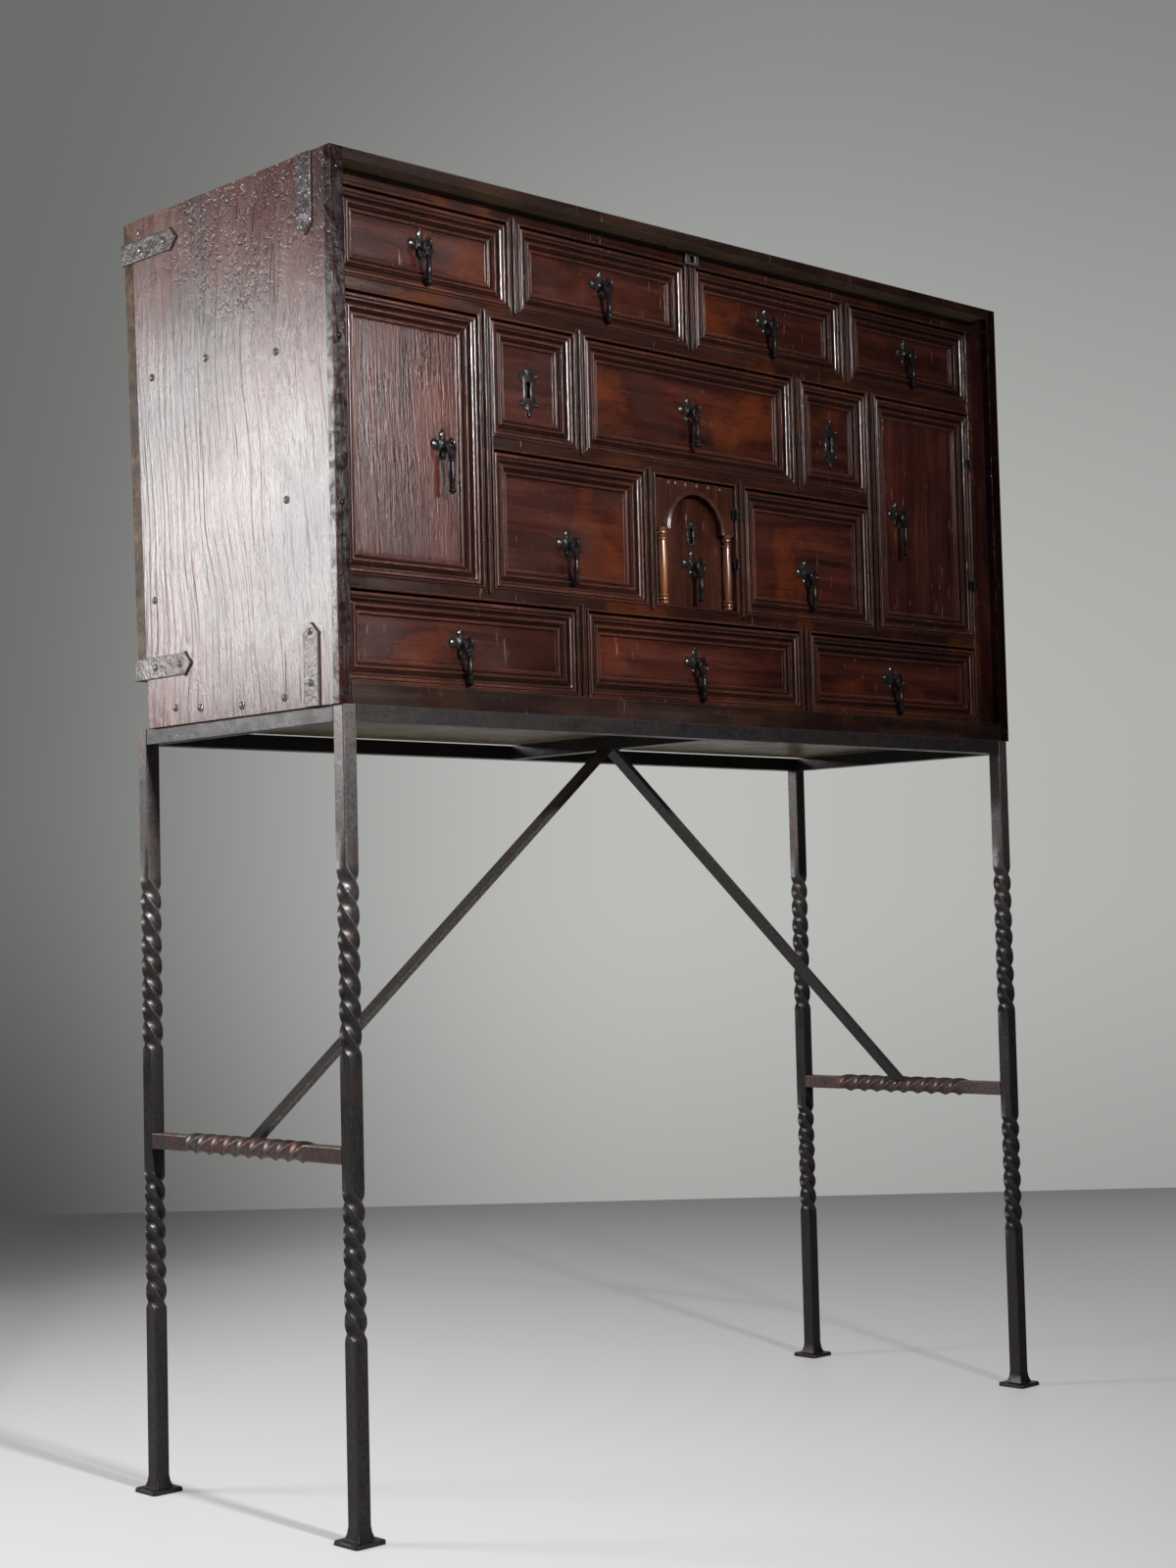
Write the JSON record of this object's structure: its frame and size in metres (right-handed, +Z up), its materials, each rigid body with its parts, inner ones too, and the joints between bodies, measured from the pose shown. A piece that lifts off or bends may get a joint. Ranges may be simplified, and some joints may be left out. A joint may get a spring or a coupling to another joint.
{
  "type": "vargueno",
  "caption": "Walnut writing cabinet with drawers and small doors behind a missing fall-front, iron pulls and straps, on a stand of twisted square iron bar with braces.",
  "frame": {"origin": "on the floor, under the middle of the stand", "axes": "+Z up, +Y to the back, +X to the right seen from the front"},
  "size_m": [1.193, 0.418, 1.5],
  "materials": {
    "case_walnut": "waxed walnut, worn",
    "inner_board": "bare",
    "facade_moulding": "waxed",
    "drawer_front": "waxed",
    "turned_column": "polished",
    "wrought_iron": "blackened",
    "stand_iron": "blackened, rubbed"
  },
  "bodies": {
    "cabinet": {"case_side_left": "case_walnut", "case_side_right": "case_walnut", "case_top": "case_walnut", "case_bottom": "case_walnut", "case_back": "case_walnut", "inner_boards": "inner_board", "facade_mouldings": "facade_moulding", "case_irons": "wrought_iron", "door_hinge_pins": "wrought_iron", "stand_legs": "stand_iron", "stand_top_frame": "stand_iron", "stand_stretchers": "stand_iron", "stand_braces": "stand_iron"},
    "drawer_a1": {"drawer_a1": "drawer_front", "rosette_a1": "wrought_iron"},
    "pull_a1": {"pull_a1": "wrought_iron"},
    "drawer_a2": {"drawer_a2": "drawer_front", "rosette_a2": "wrought_iron"},
    "pull_a2": {"pull_a2": "wrought_iron"},
    "drawer_a3": {"drawer_a3": "drawer_front", "rosette_a3": "wrought_iron"},
    "pull_a3": {"pull_a3": "wrought_iron"},
    "drawer_a4": {"drawer_a4": "drawer_front", "rosette_a4": "wrought_iron"},
    "pull_a4": {"pull_a4": "wrought_iron"},
    "drawer_b1": {"drawer_b1": "drawer_front", "lock_b1": "wrought_iron"},
    "bolt_b1": {"bolt_b1": "wrought_iron"},
    "drawer_b2": {"drawer_b2": "drawer_front", "rosette_b2": "wrought_iron"},
    "pull_b2": {"pull_b2": "wrought_iron"},
    "drawer_b3": {"drawer_b3": "drawer_front", "lock_b3": "wrought_iron"},
    "bolt_b3": {"bolt_b3": "wrought_iron"},
    "drawer_c1": {"drawer_c1": "drawer_front", "rosette_c1": "wrought_iron"},
    "pull_c1": {"pull_c1": "wrought_iron"},
    "drawer_c3": {"drawer_c3": "drawer_front", "rosette_c3": "wrought_iron"},
    "pull_c3": {"pull_c3": "wrought_iron"},
    "drawer_d1": {"drawer_d1": "drawer_front", "rosette_d1": "wrought_iron"},
    "pull_d1": {"pull_d1": "wrought_iron"},
    "drawer_d2": {"drawer_d2": "drawer_front", "rosette_d2": "wrought_iron"},
    "pull_d2": {"pull_d2": "wrought_iron"},
    "drawer_d3": {"drawer_d3": "drawer_front", "rosette_d3": "wrought_iron"},
    "pull_d3": {"pull_d3": "wrought_iron"},
    "door_left": {"door_left": "drawer_front", "door_left_irons": "wrought_iron"},
    "pull_door_left": {"pull_door_left": "wrought_iron"},
    "door_right": {"door_right": "drawer_front", "door_right_irons": "wrought_iron"},
    "pull_door_right": {"pull_door_right": "wrought_iron"},
    "arch_door": {"arch_door": "drawer_front", "arch_columns": "turned_column", "arch_door_irons": "wrought_iron"},
    "pull_arch": {"pull_arch": "wrought_iron"},
    "bolt_arch": {"bolt_arch": "wrought_iron"}
  },
  "joints": [
    {"name": "drawer_a1_slide", "type": "slide", "parent": "cabinet", "child": "drawer_a1", "axis": [0, -1, 0], "range_m": [0, 0.27]},
    {"name": "pull_a1_swing", "type": "hinge", "parent": "drawer_a1", "child": "pull_a1", "pos_m": [-0.433, -0.1745, 1.424], "axis": [-1, 0, 0], "range_deg": [0, 90]},
    {"name": "drawer_a2_slide", "type": "slide", "parent": "cabinet", "child": "drawer_a2", "axis": [0, -1, 0], "range_m": [0, 0.27]},
    {"name": "pull_a2_swing", "type": "hinge", "parent": "drawer_a2", "child": "pull_a2", "pos_m": [-0.149, -0.1745, 1.424], "axis": [-1, 0, 0], "range_deg": [0, 90]},
    {"name": "drawer_a3_slide", "type": "slide", "parent": "cabinet", "child": "drawer_a3", "axis": [0, -1, 0], "range_m": [0, 0.27]},
    {"name": "pull_a3_swing", "type": "hinge", "parent": "drawer_a3", "child": "pull_a3", "pos_m": [0.149, -0.1745, 1.424], "axis": [-1, 0, 0], "range_deg": [0, 90]},
    {"name": "drawer_a4_slide", "type": "slide", "parent": "cabinet", "child": "drawer_a4", "axis": [0, -1, 0], "range_m": [0, 0.27]},
    {"name": "pull_a4_swing", "type": "hinge", "parent": "drawer_a4", "child": "pull_a4", "pos_m": [0.433, -0.1745, 1.424], "axis": [-1, 0, 0], "range_deg": [0, 90]},
    {"name": "drawer_b1_slide", "type": "slide", "parent": "cabinet", "child": "drawer_b1", "axis": [0, -1, 0], "range_m": [0, 0.27]},
    {"name": "bolt_b1_slide", "type": "slide", "parent": "drawer_b1", "child": "bolt_b1", "axis": [0, 0, 1], "range_m": [0, 0.01]},
    {"name": "drawer_b2_slide", "type": "slide", "parent": "cabinet", "child": "drawer_b2", "axis": [0, -1, 0], "range_m": [0, 0.27]},
    {"name": "pull_b2_swing", "type": "hinge", "parent": "drawer_b2", "child": "pull_b2", "pos_m": [0, -0.1745, 1.289], "axis": [-1, 0, 0], "range_deg": [0, 90]},
    {"name": "drawer_b3_slide", "type": "slide", "parent": "cabinet", "child": "drawer_b3", "axis": [0, -1, 0], "range_m": [0, 0.27]},
    {"name": "bolt_b3_slide", "type": "slide", "parent": "drawer_b3", "child": "bolt_b3", "axis": [0, 0, 1], "range_m": [0, 0.01]},
    {"name": "drawer_c1_slide", "type": "slide", "parent": "cabinet", "child": "drawer_c1", "axis": [0, -1, 0], "range_m": [0, 0.27]},
    {"name": "pull_c1_swing", "type": "hinge", "parent": "drawer_c1", "child": "pull_c1", "pos_m": [-0.21375, -0.1745, 1.101], "axis": [-1, 0, 0], "range_deg": [0, 90]},
    {"name": "drawer_c3_slide", "type": "slide", "parent": "cabinet", "child": "drawer_c3", "axis": [0, -1, 0], "range_m": [0, 0.27]},
    {"name": "pull_c3_swing", "type": "hinge", "parent": "drawer_c3", "child": "pull_c3", "pos_m": [0.21375, -0.1745, 1.101], "axis": [-1, 0, 0], "range_deg": [0, 90]},
    {"name": "drawer_d1_slide", "type": "slide", "parent": "cabinet", "child": "drawer_d1", "axis": [0, -1, 0], "range_m": [0, 0.26]},
    {"name": "pull_d1_swing", "type": "hinge", "parent": "drawer_d1", "child": "pull_d1", "pos_m": [-0.384, -0.1745, 0.971], "axis": [-1, 0, 0], "range_deg": [0, 90]},
    {"name": "drawer_d2_slide", "type": "slide", "parent": "cabinet", "child": "drawer_d2", "axis": [0, -1, 0], "range_m": [0, 0.26]},
    {"name": "pull_d2_swing", "type": "hinge", "parent": "drawer_d2", "child": "pull_d2", "pos_m": [0, -0.1745, 0.971], "axis": [-1, 0, 0], "range_deg": [0, 90]},
    {"name": "drawer_d3_slide", "type": "slide", "parent": "cabinet", "child": "drawer_d3", "axis": [0, -1, 0], "range_m": [0, 0.26]},
    {"name": "pull_d3_swing", "type": "hinge", "parent": "drawer_d3", "child": "pull_d3", "pos_m": [0.384, -0.1745, 0.971], "axis": [-1, 0, 0], "range_deg": [0, 90]},
    {"name": "door_left_hinge", "type": "hinge", "parent": "cabinet", "child": "door_left", "pos_m": [-0.5571, -0.1723, 1.196], "axis": [0, 0, -1], "range_deg": [0, 95]},
    {"name": "pull_door_left_swing", "type": "hinge", "parent": "door_left", "child": "pull_door_left", "pos_m": [-0.4048, -0.1745, 1.197], "axis": [-1, 0, 0], "range_deg": [0, 90]},
    {"name": "door_right_hinge", "type": "hinge", "parent": "cabinet", "child": "door_right", "pos_m": [0.5571, -0.1723, 1.196], "axis": [0, 0, 1], "range_deg": [0, 95]},
    {"name": "pull_door_right_swing", "type": "hinge", "parent": "door_right", "child": "pull_door_right", "pos_m": [0.4048, -0.1745, 1.197], "axis": [-1, 0, 0], "range_deg": [0, 90]},
    {"name": "arch_door_hinge", "type": "hinge", "parent": "cabinet", "child": "arch_door", "pos_m": [0.0706, -0.1723, 1.1314], "axis": [0, 0, 1], "range_deg": [0, 60]},
    {"name": "pull_arch_swing", "type": "hinge", "parent": "arch_door", "child": "pull_arch", "pos_m": [0, -0.1745, 1.095], "axis": [-1, 0, 0], "range_deg": [0, 90]},
    {"name": "bolt_arch_slide", "type": "slide", "parent": "arch_door", "child": "bolt_arch", "axis": [-1, 0, 0], "range_m": [0, 0.012]}
  ]
}
